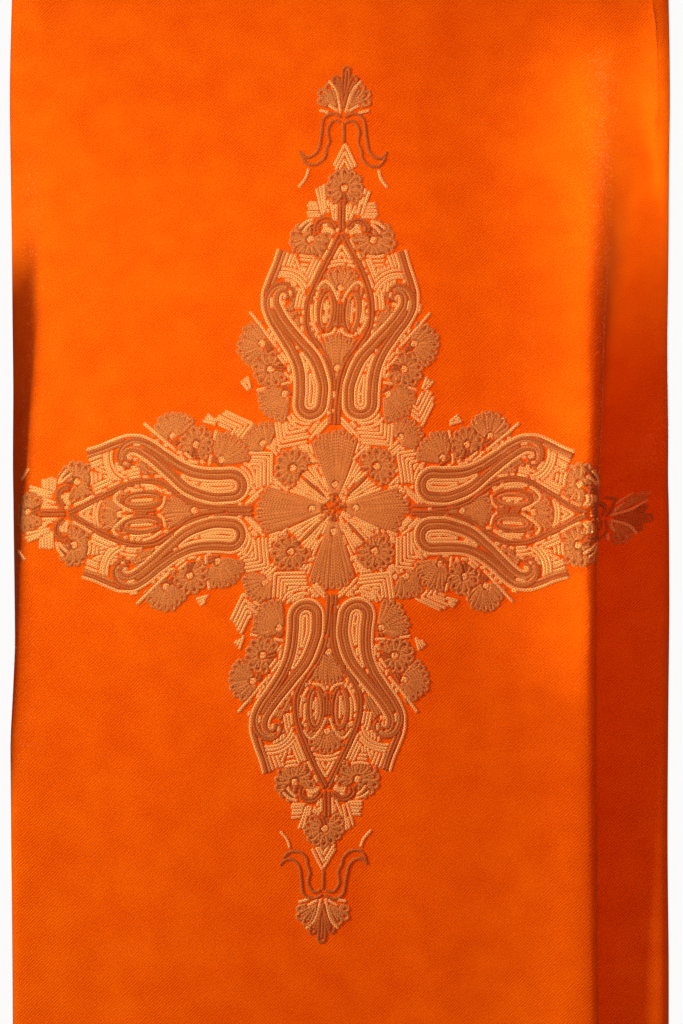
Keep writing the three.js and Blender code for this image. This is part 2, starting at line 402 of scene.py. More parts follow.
class Nodes:
    """The nodes of a new material or world, made and linked in short calls."""

    def __init__(self, name, kind="materials"):
        self.owner = getattr(bpy.data, kind).new(name)
        self.owner.use_nodes = True
        self.tree = self.owner.node_tree

    def add(self, kind, settings=None, **inputs):
        """A node. Its inputs are named, or numbered as i0, i1 and so on."""
        node = self.tree.nodes.new("ShaderNode" + kind)
        for key, value in (settings or {}).items():
            setattr(node, key, value)
        for key, value in inputs.items():
            numbered = key[0] == "i" and key[1:].isdigit()
            self.set(node.inputs[int(key[1:]) if numbered else key], value)
        return node

    def set(self, socket, value):
        if isinstance(value, bpy.types.NodeSocket):
            self.tree.links.new(value, socket)
        else:
            socket.default_value = value

    def math(self, operation, a, b=0.0, c=0.0):
        return self.add("Math", {"operation": operation}, i0=a, i1=b, i2=c).outputs[0]

    def mix(self, factor, a, b):
        return self.add("Mix", {"data_type": "RGBA"}, i0=factor, i6=a, i7=b).outputs[2]

    def clamp(self, value):
        return self.add("Clamp", Value=value).outputs[0]

    def wave(self, value, period):
        return self.math("SINE", self.math("MULTIPLY", value, 2 * math.pi / period))

    def noise(self, vector, scale, detail=2.0):
        return self.add("TexNoise", Vector=vector, Scale=scale, Detail=detail).outputs[0]

    def bump(self, height, strength, distance):
        return self.add("Bump", Height=height, Strength=strength, Distance=distance).outputs[0]

    def surface(self, **inputs):
        """The material, once the inputs of its surface are set."""
        shader = self.tree.nodes["Principled BSDF"]
        for key, value in inputs.items():
            self.set(shader.inputs[key.replace("_", " ")], value)
        return self.owner


def linear(*screen):
    """A colour given in screen values, 0 to 255, as the shader's linear values."""
    values = []
    for value in screen:
        share = value / 255
        values.append(share / 12.92 if share <= 0.04045 else ((share + 0.055) / 1.055) ** 2.4)
    return (*values, 1.0)


# The twill: its diagonal ribs and its upright yarns, in millimetres
TWILL_PERIOD = 1.3
YARN_PERIOD = 0.46


def cloth_material():
    n = Nodes("shawl_twill")
    uv = n.add("UVMap", {"uv_map": "cloth"}).outputs[0]
    parts = n.add("SeparateXYZ", Vector=uv)
    across, along = parts.outputs[0], parts.outputs[1]
    wander = n.math("MULTIPLY", n.noise(uv, 160.0), 0.0009)
    diagonal = n.math("ADD", n.math("ADD", across, along), wander)
    rib = n.wave(diagonal, TWILL_PERIOD * math.sqrt(2) * MM)
    yarn = n.wave(across, YARN_PERIOD * MM)
    fuzz = n.noise(uv, 1500.0, 3.0)
    patchy = n.noise(uv, 240.0)
    slub = n.noise(uv, 55.0, 3.0)
    broad = n.noise(uv, 7.0)
    # Painted shade and highlight: the twill's ribs and the fuzz lighten the colour on their raised
    # crests and darken it between them, in step with the bump below. Slub and broad are random tone.
    shade = n.math("MULTIPLY_ADD", n.math("MULTIPLY", rib, patchy), 0.42, 0.5)
    for noise, weight in ((slub, 0.6), (broad, 0.4), (fuzz, 2.6)):
        shade = n.math("MULTIPLY_ADD", n.math("SUBTRACT", noise, 0.5), weight, shade)
    colour = n.mix(n.clamp(shade), linear(208, 67, 0), linear(248, 125, 4))
    height = n.math("MULTIPLY_ADD", rib, 0.46, n.math("MULTIPLY", yarn, 0.15))
    height = n.math("MULTIPLY_ADD", fuzz, 2.4, height)
    return n.surface(
        Base_Color=colour, Roughness=0.85, Normal=n.bump(height, 0.8, 0.0002), Sheen_Weight=0.12,
        Sheen_Roughness=0.35, Sheen_Tint=(1.0, 0.42, 0.12, 1.0), Specular_IOR_Level=0.04,
    )


# The medallion in chain stitch. Its design lies in a plane in millimetres, as complex numbers:
# the real part goes across, the imaginary part up. An arm's own places go outwards from the
# middle along the imaginary axis.
ROW = 1.9
LINK = 1.62
ROW_WANDER = 0.13
END_WANDER = 1.6
CURVE_STEP = 0.5
MEDALLION_ACROSS = -1.1
MEDALLION_UP = 0.8
# How the arms hang on the cloth
LEAN = 0.028
DROOP_START = 20
# The net on which rows mark the cloth they cover, and how near another row may come
GRID_STEP = 0.4
GRID_REACH = 290
ROW_KEPT_FREE = 0.46 * ROW
# Distance between the tries of a row that fills a gap
TIGHT = ROW * 0.4
HIDDEN = math.nan
# Each arm with how far out places of the drawn arm are sewn. The side arms run through the
# folds, where nothing is sewn, and their ends come out behind the panel's edges.
ARMS = {
    "top": ((0, 76, 151, 242), (0, 75, 150.5, 243)),
    "right": ((0, 76, 151, 185, 185.1, 202.9, 203, 215, 242),
              (0, 70.5, 136.5, 167, HIDDEN, HIDDEN, 221, 232, 257)),
    "bottom": ((0, 76, 151, 242), (0, 78, 151.5, 236.5)),
    "left": ((0, 76, 151, 186, 186.1, 202.9, 203, 242),
             (0, 75, 143.5, 176.5, HIDDEN, HIDDEN, 236, 271)),
}
AS_DRAWN = ((0, 300), (0, 300))
hand = np.random.default_rng(7)


def heading(degrees):
    return complex(math.cos(math.radians(degrees)), math.sin(math.radians(degrees)))


def curve(*points):
    """A smooth line through a few points, as close points."""
    points = np.array(points, dtype=complex)
    if len(points) == 2:
        count = max(int(abs(points[1] - points[0]) / CURVE_STEP), 3)
        return np.linspace(points[0], points[1], count)
    padded = np.concatenate(([2 * points[0] - points[1]], points, [2 * points[-1] - points[-2]]))
    line = []
    for a, b, c, d in zip(padded, padded[1:], padded[2:], padded[3:]):
        t = np.linspace(0, 1, max(int(abs(c - b) / CURVE_STEP), 3), endpoint=False)
        line.append(0.5 * (2 * b + (c - a) * t + (2 * a - 5 * b + 4 * c - d) * t ** 2
                           + (3 * b - 3 * c + d - a) * t ** 3))
    return np.concatenate(line + [points[-1:]])


def arc(centre, radius, start, end):
    angles = np.radians(np.linspace(start, end, max(int(abs(end - start) * radius / 25), 6)))
    return centre + radius * np.exp(1j * angles)


def beside(line, distance):
    """A line a distance to the left of another; the distance may change along it."""
    along = np.gradient(line)
    return line + 1j * along / np.abs(along) * distance


def evenly(line, step):
    """The same line with points a step apart."""
    lengths = np.concatenate(([0], np.cumsum(np.abs(np.diff(line)))))
    count = max(round(lengths[-1] / step), 2)
    places = np.linspace(0, lengths[-1], count + 1)
    return np.interp(places, lengths, line.real) + 1j * np.interp(places, lengths, line.imag)


class Design:
    """Rows of stitches. A new row stops where it would run over an earlier one."""

    def __init__(self):
        count = int(2 * GRID_REACH / GRID_STEP)
        self.covered = np.zeros((count, count), dtype=bool)
        self.settled = self.covered
        cells = range(-3, 4)
        self.stamp = np.array([(x, y) for x in cells for y in cells
                               if math.hypot(x, y) * GRID_STEP < ROW_KEPT_FREE])
        self.rows = []
        self.mirror = False

    def choose(self, arm, stretched):
        """The arm that takes the next rows, with its own length or as drawn."""
        self.arm = arm
        self.turn = (-1j) ** list(ARMS).index(arm)
        self.reach = ARMS[arm] if stretched else AS_DRAWN

    def place(self, line):
        line = -np.conj(line) if self.mirror else line
        return (line.real + 1j * np.interp(line.imag, *self.reach)) * self.turn

    def settle(self):
        """From here on, rows that may cross their own motif mind only what is there now."""
        self.settled = self.covered.copy()

    def row(self, colour, line, crossing=False):
        """Sews one row in the arm's own places."""
        placed = self.place(np.asarray(line)) + complex(*hand.normal(0, ROW_WANDER, 2))
        seen = np.isfinite(placed)
        for part in np.split(placed, np.flatnonzero(np.diff(seen)) + 1):
            if len(part) > 3 and np.isfinite(part[0]):
                self.sew(colour, evenly(part, GRID_STEP), crossing)

    def sew(self, colour, line, crossing):
        """Sews a line where the cloth is still free."""
        cells = ((np.stack((line.real, line.imag), 1) + GRID_REACH) / GRID_STEP).astype(int)
        taken = self.settled if crossing else self.covered
        free = ~taken[cells[:, 0], cells[:, 1]]
        edges = np.flatnonzero(np.diff(np.concatenate(([0], free.astype(int), [0]))))
        for start, end in zip(edges[::2], edges[1::2]):
            if (end - start) * GRID_STEP > 1.5 * LINK:
                self.rows.append((self.arm, colour, line[start:end]))
                marks = (cells[start:end, None] + self.stamp[None]).reshape(-1, 2)
                self.covered[marks[:, 0], marks[:, 1]] = True

    def lines(self, colour, *lines):
        """Rows through a few points each."""
        for points in lines:
            self.row(colour, curve(*points))

    def rows_beside(self, colour, line, *distances):
        for distance in distances:
            self.row(colour, beside(line, distance))

    def fill(self, colour, facing, *corners, step=ROW * 0.96):
        """Rows side by side over what is still free between some corners."""
        turn = heading(facing)
        outline = np.array(corners) / turn
        following = np.roll(outline, -1)
        for level in np.arange(outline.imag.min() + ROW / 2, outline.imag.max(), step):
            crosses = (outline.imag > level) != (following.imag > level)
            a, b = outline[crosses], following[crosses]
            ends = np.sort(a.real + (b.real - a.real) * (level - a.imag) / (b.imag - a.imag))
            for start, end in zip(ends[::2], ends[1::2]):
                start += float(hand.uniform(0, END_WANDER))
                if end - start > 2 * LINK:
                    self.row(colour, curve((start + 1j * level) * turn, (end + 1j * level) * turn))

    def leaf(self, one_edge, other_edge, rows):
        """Cream rows from one edge to the other, with uneven ends."""
        count = 60
        spots = np.linspace(0, 1, count)
        edges = []
        for points in (one_edge, other_edge):
            edge = evenly(curve(*points), CURVE_STEP)
            shares = np.linspace(0, 1, len(edge))
            edges.append(np.interp(spots, shares, edge.real) + 1j * np.interp(spots, shares, edge.imag))
        for share in np.arange(rows) / (rows - 1):
            last = count - int(hand.integers(0, 6))
            self.row("cream", (edges[0] * (1 - share) + edges[1] * share)[:last])

    def dot(self, centre):
        """A small ring that the petals of its own motif go round."""
        self.settle()
        angle = float(hand.uniform(0, 360))
        self.row("cream", arc(centre, 1.15, angle, angle + 350), crossing=True)
        self.settle()

    def petal(self, colour, base, tip, width):
        """A round-ended loop of a row with a row up its middle."""
        length = abs(tip - base)
        way = (tip - base) / length
        half = max(width / 2 - ROW / 2, 0.4)
        t = np.linspace(0, 1, max(int(length), 8))
        swell = half * np.minimum(t * 1.4, 1) ** 0.8
        right = base + way * (t * (length - half) - 1j * swell)
        cap = arc(0, half, -90, 90) * way + base + way * (length - half)
        left = (base + way * (t * (length - half) + 1j * swell))[::-1]
        self.row(colour, np.concatenate((right, cap[1:-1], left)), crossing=True)
        middle = np.linspace(base + way * length * 0.3, base + way * (length - 1.2 * ROW), 12)
        self.row(colour, middle, crossing=True)

    def petals(self, base, facing, spread, inner, radius, count, droop=0.0):
        """Tan petals side by side round a place, longest in the middle where they droop."""
        for k in range(count):
            angle = facing + spread * ((k + 0.5) / count - 0.5)
            off_middle = abs(2 * (k + 0.5) / count - 1)
            length = radius * (1 - droop * off_middle ** 2) * float(hand.uniform(0.96, 1.04))
            width = math.radians(spread / count) * radius * 1.02
            self.petal("tan", base + heading(angle) * inner, base + heading(angle) * length, width)

    def flower(self, centre, facing, spread, radius, count):
        """Petals round a dot, over tan rows beneath that are darkened by painted shade."""
        self.dot(centre)
        self.fill("ground", facing + 20, *arc(centre, radius * 0.86, 0, 345))
        self.petals(centre, facing, spread, 2.6, radius, count)

    def fan(self, base, facing, spread, radius, count, dot_at):
        """Petals that open from one place, over tan rows beneath that are darkened by painted shade."""
        self.dot(dot_at)
        rim = arc(base, radius * 0.84, facing - spread / 2, facing + spread / 2)
        self.fill("ground", facing, base, *rim)
        self.petals(base, facing, spread, radius * 0.15, radius, count, 0.1)

    def chevrons(self, apex, facing, half_angle, arm, rows, shrink):
        """Cream rows bent to a point, one inside the other."""
        step = ROW * 1.02 / math.sin(math.radians(half_angle))
        for k in range(rows):
            point = apex + heading(facing) * step * k
            reach = arm * (1 - shrink * k) * float(hand.uniform(0.93, 1.07))
            ends = [point + heading(facing + side * half_angle) * reach for side in (1, -1)]
            self.row("cream", np.concatenate((curve(ends[0], point), curve(point, ends[1])[1:])))


# The paisley: its middle line from the bulb to the curl, and its half width there
PAISLEY_LINE = (13.6+57j, 13.4+66j, 16+78j, 21.5+88j, 28.4+97.7j, 34+105.5j,
                37.2+112.5j, 35.8+119j, 31+121.3j, 27.2+118j, 27.8+114j)
PAISLEY_WIDTH = (10.5, 10.5, 9.0, 7.2, 6.4, 6.3, 6.0, 5.3, 4.8, 4.2, 3.4)
# Its rows and how far inside its edge they run, and where the head leaves for the shoulder
PAISLEY_ROWS = (("cream", 0.95), ("brown", 2.65), ("tan", 4.3), ("brown", 5.9),
                ("cream", 7.6), ("cream", 9.35))
PAISLEY_HEAD = 6


def paisley(design):
    """Nested rows that go up each side of the middle line and round the bulb. The outermost
    leaves the head for the shoulder."""
    line = curve(*PAISLEY_LINE)
    marks = [len(curve(*PAISLEY_LINE[:k + 1])) for k in range(1, len(PAISLEY_LINE))]
    half = np.interp(np.arange(len(line)), [0] + marks, PAISLEY_WIDTH)
    start_way = (line[1] - line[0]) / abs(line[1] - line[0])
    for colour, inwards in PAISLEY_ROWS:
        gap = half - inwards
        kept = gap > 0.25
        last = len(line) if kept.all() else int(np.argmin(kept))
        left = beside(line, gap)[:last][::-1]
        right = beside(line, -gap)[:last]
        if inwards < ROW / 2 + 0.1:
            head = marks[PAISLEY_HEAD - 1]
            shoulder_line = curve(right[head], 42.3+119j, 39.8+127j, 36.6+135j, 34.4+142.5j)
            right = np.concatenate((right[:head], shoulder_line))
        bulb = line[0] + gap[0] * np.exp(1j * np.linspace(math.pi / 2, 1.5 * math.pi, 24)) * start_way
        design.row(colour, np.concatenate((left, bulb[1:-1], right)))
    design.row("cream", arc(31.6+115.2j, 1.9, 60, 300))


# The stem that runs round the two teardrops from the arm's tip to its root
OGIVE = (1.2+151j, 4.8+143.5j, 9.3+134.5j, 13.2+126j, 16.8+117j, 18.2+108.5j, 17.8+100j,
         14.6+92.5j, 10.2+85.5j, 6.2+79.5j, 3.4+71j, 2.3+60j, 2.2+45j)


def stems(design):
    design.rows_beside("brown", curve(*OGIVE), 0, -ROW)
    design.lines("brown", (1+151j, 1+168j), (0.4+46j, 0.4+68j))


def shoulder(design):
    """The rows outside and over the paisley's head."""
    edge = curve(40.6+119j, 37.8+127j, 34.8+135j, 32.6+142j)
    design.row("brown", edge)
    design.row("tan", beside(edge, ROW)[8:])
    for number in range(3):
        radius = 12.2 + ROW * number
        design.row("cream", arc(31.6+115.2j, radius, 55 + 6 * number, 172 - 12 * number))
    design.lines("cream", (33.6+128j, 29+140.5j), (31+129j, 27+139.5j), (28.6+130j, 25+139j))
    design.rows_beside("cream", curve(*OGIVE[2:6]), ROW * 1.05, ROW * 2.05, ROW * 3.05)
    design.leaf((13+138j, 18.4+137.6j, 23.4+138.8j), (13.6+133j, 18.6+133j, 23+133.6j), 3)
    design.fill("cream", 70, 21+125j, 24+139j, 31+141j, 40+122j, 36+126j, 28+128j)


def flank(design):
    """Fans and flowers on the paisley's outer side."""
    design.lines("cream", (32.5+89j, 40.5+98.5j, 49+108.5j))
    design.leaf((25.6+79.5j, 30.4+86.5j), (28+79j, 32+84.5j), 2)
    design.fan(38.5+90j, 12, 130, 15.5, 8, 40.6+91j)
    design.flower(35.5+77j, -5, 300, 9.8, 10)
    design.lines("cream", (24.5+69j, 33+68j, 43.5+66j))
    design.leaf((25.4+71.5j, 28+75j, 29.6+79.5j), (27+70.5j, 30.5+71.5j), 3)
    design.leaf((46.5+66.5j, 48.5+74j), (47.5+66j, 52+71.5j), 3)
    design.fan(25.5+63.5j, -32, 104, 17.5, 8, 28+62.5j)


def lotus(design):
    """The two teardrops between the paisleys, with their cream outlines."""
    centre = 6.8+107j
    design.lines(
        "cream", (0.9+112.5j, 4.4+119.5j, 9+123.6j, 13.4+118.5j, 15.2+110.5j, 14.2+102j, 10.6+95j),
        (1.2+98j, 3.4+94.8j, 8.6+93.4j),
    )
    for half_width, half_height, colour in ((4.6, 11.6, "brown"), (2.75, 9.4, "tan")):
        angles = np.linspace(0.1, 2 * math.pi - 0.1, 50)
        design.row(colour, centre + half_width * np.sin(angles) - 1j * half_height * np.cos(angles))
    design.row("cream", curve(centre - 6.4j, centre + 6.4j), crossing=True)
    design.lines("cream", (12.6+114j, 12.9+108j, 12+101j))
    design.fill("tan", 90, 1+96j, 1+111j, 12+121j, 12+96j)


def middle_line(design):
    """What lies on the arm's own axis."""
    design.fan(1j, 90, 38, 41.5, 7, 12.5j)
    design.lines("brown", (0.4+0.6j, 0.3+6.6j))
    design.lines("tan", (1.6+2.6j, 2.4+9j), (-1.6+2.6j, -2.4+9j))
    design.fan(60j, 90, 40, 34.5, 6, 76j)
    design.fan(117.5j, 90, 150, 14, 8, 119.8j)
    for radius in (16.2, 18.2):
        design.row("cream", arc(117j, radius, 40, 140))
    design.chevrons(148j, -90, 29, 14, 5, 0.14)
    design.flower(1+174.5j, 90, 300, 10.4, 11)
    design.chevrons(0.6+198.5j, -90, 27, 13.5, 3, 0.1)
    design.lines("cream", (-5.5+186j, 6.5+186j))
    design.lines("brown", (199j, 210.5j))


def crest(design):
    """The leaves and flowers above the shoulders."""
    curl = curve(2.4+153.5j, 6+157.5j, 11+158j, 14.6+154.5j, 14.2+150.5j)
    design.rows_beside("brown", curl, 0, -ROW)
    design.leaf((3.4+151.5j, 6.4+154.6j, 10.6+154.5j), (4.4+149.5j, 7.4+151.5j, 11.6+151j), 3)
    design.lines("cream", (4.6+147.5j, 7+141.5j, 10.5+135.5j))
    design.leaf((3+156.5j, 3.2+169.5j), (4.5+157.5j, 8.8+168.5j), 4)
    design.leaf((7.5+161j, 8.6+169j, 9+177.5j), (10.6+160j, 13+168j, 15+174.5j), 4)
    design.leaf((9.5+164.5j, 14+166.4j, 19.5+167j), (8.5+159.5j, 14+159.5j, 20+159.5j), 5)
    design.leaf((15.5+157.6j, 20+156j, 24+152.5j), (16+156j, 19+153.5j, 21.5+150j), 2)
    design.flower(17+146.8j, -60, 290, 11.4, 11)


def finial(design):
    """The scrolls and the palmette at the arm's end."""
    design.lines(
        "brown",
        (0.5+213j, 5.6+215.4j, 10.8+212.6j, 12.2+204j, 14+195.5j, 18.6+191.6j, 22.4+193j, 24+195.5j),
        (0.5+210.4j, 5.4+211.4j, 8.4+206j, 7.6+200j, 9.4+195.6j, 10+191.6j, 14+187.6j, 19.8+187.8j,
         23+193j),
    )
    design.lines("cream", (19.4+185.6j, 21+180.5j, 25+175.5j),
                 (1.4+215.6j, 2.4+221j, 4.6+228.4j, 9+233.6j))
    design.leaf((2+214.6j, 8+216j, 14+217.6j), (2.4+216.4j, 8.6+220.4j), 2)
    design.settle()
    for tip, width in ((9.6+231j, 5.6), (13.6+227.5j, 5.4), (14+222.5j, 5)):
        design.petal("tan", 3.4+219.5j, tip, width)


def close_gaps(design):
    """Rows in what is still free inside the arm's outline."""
    design.fill("brown", 90, 44j, 3+45j, 3.4+62j, 4.6+74j, 76j, step=TIGHT)
    design.fill("tan", 62, 19.6+97j, 24+102j, 30+110j, 27+112j, 26+120j, 21.6+121j, 20.6+110j,
                step=TIGHT)
    design.fill("brown", 90, 96j, 3.6+99j, 4+112j, 1.5+116j, 116j, step=TIGHT)
    design.fill("brown", 60, 24+60j, 27+75j, 36+91j, 42+98j, 44+92j, 36+72j, 31+60j, step=TIGHT)
    design.fill("cream", 82, 50j, 23+54j, 25+72j, 33+88j, 44+110j, 42+120j, 36+140j, 20+140j,
                12+149j, 6+157j, 166j, step=TIGHT)


def both_halves(design, parts):
    """Some parts of an arm, each on one side of its axis and then on the other."""
    for part in parts:
        for mirror in (False, True):
            design.mirror = mirror
            part(design)
    design.mirror = False


def sew_arm(design):
    """One arm: what lies beside its axis, the axis, the outer parts and the tip's petals."""
    both_halves(design, (paisley, stems, lotus))
    middle_line(design)
    both_halves(design, (finial, shoulder, flank, crest, close_gaps))
    design.settle()
    for tip, width in ((241.5j, 5.6), (-5.6+236j, 5), (5.6+236j, 5),
                       (-5.4+230.5j, 5), (5.4+230.5j, 5)):
        design.petal("brown", 218.5j, tip, width)


def both_ways(*lines):
    """Lines of the corner's one half, and of its other half with across and up swapped."""
    return lines, [[complex(point.imag, point.real) for point in line] for line in lines]


def sew_corner(design):
    """What fills the corner between two arms, in the upper right corner's places."""
    for edges in both_ways((1.6+4.2j, 5.6+15j, 9.4+27j), (2.8+3.6j, 10+12.4j, 17.4+19.6j)):
        design.leaf(*edges, 6)
    design.lines("brown", (2.6+2.6j, 16.5+16.5j))
    design.flower(22.6+22.6j, 45, 340, 10, 12)
    for one_edge, other_edge, *lines in both_ways(
        (3.2+48.4j, 8+43.6j, 13.8+36.5j), (3.6+46.4j, 6.8+42.8j, 11+38.6j), (13.4+35j, 11.4+29j),
        (12+46j, 16+45.2j, 21+47j, 24.6+51j), (14+43.6j, 18.4+43.4j, 23.6+45.6j, 26.4+50j),
    ):
        design.leaf(one_edge, other_edge, 2)
        design.lines("cream", *lines)
    design.chevrons(30.6+34.2j, 133, 46, 17.5, 5, 0.09)
    design.chevrons(34+30.4j, -35, 46, 16.5, 5, 0.09)
    design.fan(33.4+36.8j, 42, 128, 14.6, 8, 35.6+39j)
    design.chevrons(47+45.4j, 104, 38, 16, 5, 0.08)
    design.lines("brown", (7+1.5j, 11.6+4.4j, 17+5.8j))
    design.fill("cream", 45, 4+4j, 3+47j, 22+50j, 36+36j, 50+22j, 47+3j, step=TIGHT)


def design_rows():
    """The medallion's rows of stitches, as (arm, colour, line)."""
    design = Design()
    for sew, stretched in ((sew_arm, True), (sew_corner, False)):
        for arm in ARMS:
            design.choose(arm, stretched)
            sew(design)
    for facing in (45, 0, 90, 135):
        design.fill("brown", facing, *arc(0, 7, 0, 345), step=TIGHT)
    return design.rows


# The drifts of the hand: reach of one radian, size, direction and start
HAND_SWAYS = ((9.0, 0.35, 0.3, 0.5), (13.0, 0.5, 1.7, 2.1),
              (21.0, 0.6, 2.6, 4.0), (7.0, 0.25, 1.1, 1.2))


def hand_sway(line):
    """The small drift of sewing by hand, which bends neighbouring rows alike."""
    sway = np.zeros_like(line)
    for reach, size, way, start in HAND_SWAYS:
        sway += size * np.exp(1j * way) * np.sin((line * np.exp(-1j * way)).imag / reach + start)
    return line + sway


def hang(line):
    """The upright arms lean to the right as they rise, and the side arms droop outwards."""
    droop = np.sqrt(line.real ** 2 + DROOP_START ** 2) - DROOP_START
    return line + LEAN * (line.imag - 1j * droop)


# The map's reach to each side, its depths and the step between them
MAP_REACH = 285
MAP_TOP = 240
MAP_BOTTOM = 760
MAP_STEP = 2.5


class ClothMap:
    """The outer face of the cloth under the medallion, looked up from a fine net of points."""

    def __init__(self):
        self.across = np.arange(-MAP_REACH, MAP_REACH + 1.0)
        self.depths = np.arange(MAP_TOP, MAP_BOTTOM + 1.0, MAP_STEP)
        rows = [surface_row(self.across, depth + QUARTER_TURN) for depth in self.depths]
        self.normals = np.array([normals for _, normals in rows])
        self.points = np.array([points for points, _ in rows]) + self.normals * WALL / 2

    def at(self, places):
        """Points and normals at places of the design."""
        across = places.real + MEDALLION_ACROSS
        depth = MEDALLION_DEPTH - MEDALLION_UP - places.imag
        down = np.clip((depth - MAP_TOP) / MAP_STEP, 0, len(self.depths) - 1.001)
        right = np.clip(across + MAP_REACH, 0, len(self.across) - 1.001)
        i, j = down.astype(int), right.astype(int)
        down, right = (down - i)[:, None], (right - j)[:, None]
        result = []
        for net in (self.points, self.normals):
            upper = net[i, j] * (1 - right) + net[i, j + 1] * right
            lower = net[i + 1, j] * (1 - right) + net[i + 1, j + 1] * right
            result.append(upper * (1 - down) + lower * down)
        return result


# A chain's cross-section: places across it as shares of half its width, and then that half and
# the heights of these places, where two links meet, in the middle of one and at a row's end
STITCH_SHARES = np.array((-1.0, -0.6, 0.0, 0.6, 1.0))
MEETING = (0.76, np.array((-0.3, 0.45, 0.66, 0.45, -0.3)))
LOOP = (1.16, np.array((-0.3, 0.92, 0.5, 0.92, -0.3)))
END = (0.45, np.array((-0.3, 0.2, 0.3, 0.2, -0.3)))
# Faces over a row's two ends, each a quad and a triangle
FIRST_CAP = np.array(((0, 4, 3, 2), (0, 2, 1, 1)))
LAST_CAP = np.array(((0, 1, 2, 3), (0, 3, 4, 4)))
# Rows of the ground lie this much deeper, under the petals
GROUND_DEPTH = 0.3


def build_stitches(name, lines, cloth):
    """One mesh of many rows of chain stitch, each row a closed tube."""
    places, heights, uvs, faces = [], [], [], []
    count = 0
    for line in lines:
        line = evenly(hang(hand_sway(line)), LINK / 2)
        if len(line) % 2 == 0:
            line = evenly(line, LINK / 2 * len(line) / (len(line) + 1))
        sections = len(line)
        lift = float(hand.uniform(0, 0.08)) - (GROUND_DEPTH if "ground" in name else 0)
        size = float(hand.uniform(0.93, 1.07))
        for k, point in enumerate(line):
            half, rise = END if k in (0, sections - 1) else (LOOP if k % 2 else MEETING)
            before, after = line[max(k - 1, 0)], line[min(k + 1, sections - 1)]
            side = 1j * (after - before) / max(abs(after - before), 1e-9)
            places.append(point - side * STITCH_SHARES * half * size)
            heights.append(rise * size + lift)
            uvs.append(np.stack((np.full(5, k / 2), STITCH_SHARES * half), 1))
        start = count + np.arange(sections - 1)[:, None] * 5
        for a in range(5):
            b = (a + 1) % 5
            faces.append(np.concatenate((start + a, start + b, start + 5 + b, start + 5 + a), 1))
        faces.append(FIRST_CAP + count)
        faces.append(LAST_CAP + count + (sections - 1) * 5)
        count += sections * 5
    points, normals = cloth.at(np.concatenate(places))
    points += normals * np.concatenate(heights)[:, None]
    return add_mesh(name, points, np.concatenate(faces), np.concatenate(uvs), "links")


# Each yarn's light and dark colour, and its material slot
YARNS = {
    "cream": ((255, 212, 124), (240, 172, 88), "embroidery_cream"),
    "tan": ((232, 164, 82), (166, 92, 38), "embroidery_tan"),
    "brown": ((214, 130, 54), (146, 72, 24), "embroidery_brown"),
    # Painted shade: the rows under the petals are the tan yarn in darker colours, as if in the petals'
    # shadow.
    "ground": ((190, 118, 52), (130, 64, 24), "embroidery_tan"),
}


def yarn_material(colour):
    """Wool, each link darkened in its middle by painted shade."""
    light, dark = (linear(*screen) for screen in YARNS[colour][:2])
    n = Nodes("yarn_" + colour)
    parts = n.add("SeparateXYZ", Vector=n.add("UVMap", {"uv_map": "links"}).outputs[0])
    link, side = parts.outputs[0], parts.outputs[1]
    place = n.add("TexCoord").outputs["Object"]
    # Painted shade: a mask for the middle of each link, where its loop dips.
    in_link = n.math("ABSOLUTE", n.math("SUBTRACT", n.math("FRACT", link), 0.5))
    hole_shade_along = n.math("SUBTRACT", 1.0, n.math("MULTIPLY", in_link, 3.2))
    hole_shade_across = n.math("SUBTRACT", 1.0, n.math("MULTIPLY", n.math("ABSOLUTE", side), 2.4))
    hole_shade = n.math("MULTIPLY", n.clamp(n.math("MULTIPLY", hole_shade_along, hole_shade_across)), 1.5)
    shade = n.mix(n.noise(place, 900.0, 3.0), dark, light)
    shade = n.mix(n.math("MULTIPLY", n.noise(place, 120.0), 0.5), shade, light)
    # Painted shade: that middle is mixed towards a deep brown, as if in the shadow of the loop.
    shade = n.mix(n.clamp(hole_shade), shade, linear(118, 50, 12))
    ply = n.math("SINE", n.math("MULTIPLY_ADD", link, 30.0, n.math("MULTIPLY", side, 9.0)))
    normal = n.bump(n.math("MULTIPLY_ADD", n.noise(place, 1800.0, 3.0), 1.5, ply), 0.35, 0.0002)
    return n.surface(Base_Color=shade, Roughness=0.75, Normal=normal, Sheen_Weight=0.05,
                     Sheen_Roughness=0.5, Specular_IOR_Level=0.12)


# The nap's bands: from and to across the cloth, depths of their ends, number of fibres. Each
# fibre is a spike with three corners at its root.
NAP_BANDS = (
    (-182, -158, 300, 640, 1500),
    (134, 158, 245, 500, 2400),
    (207, 226, 245, 490, 2600),
    (196, 232, 380, 755, 1500),
    (60, 134, 245, 755, 900),
    (-160, 60, 245, 755, 1500),
)
NAP_RADIUS = 0.08
NAP_LENGTHS = (0.5, 1.3)
NAP_LIFT = 0.15
NAP_UPWARD = 0.9
NAP_CORNERS = (0.0, 2.094, 4.189)


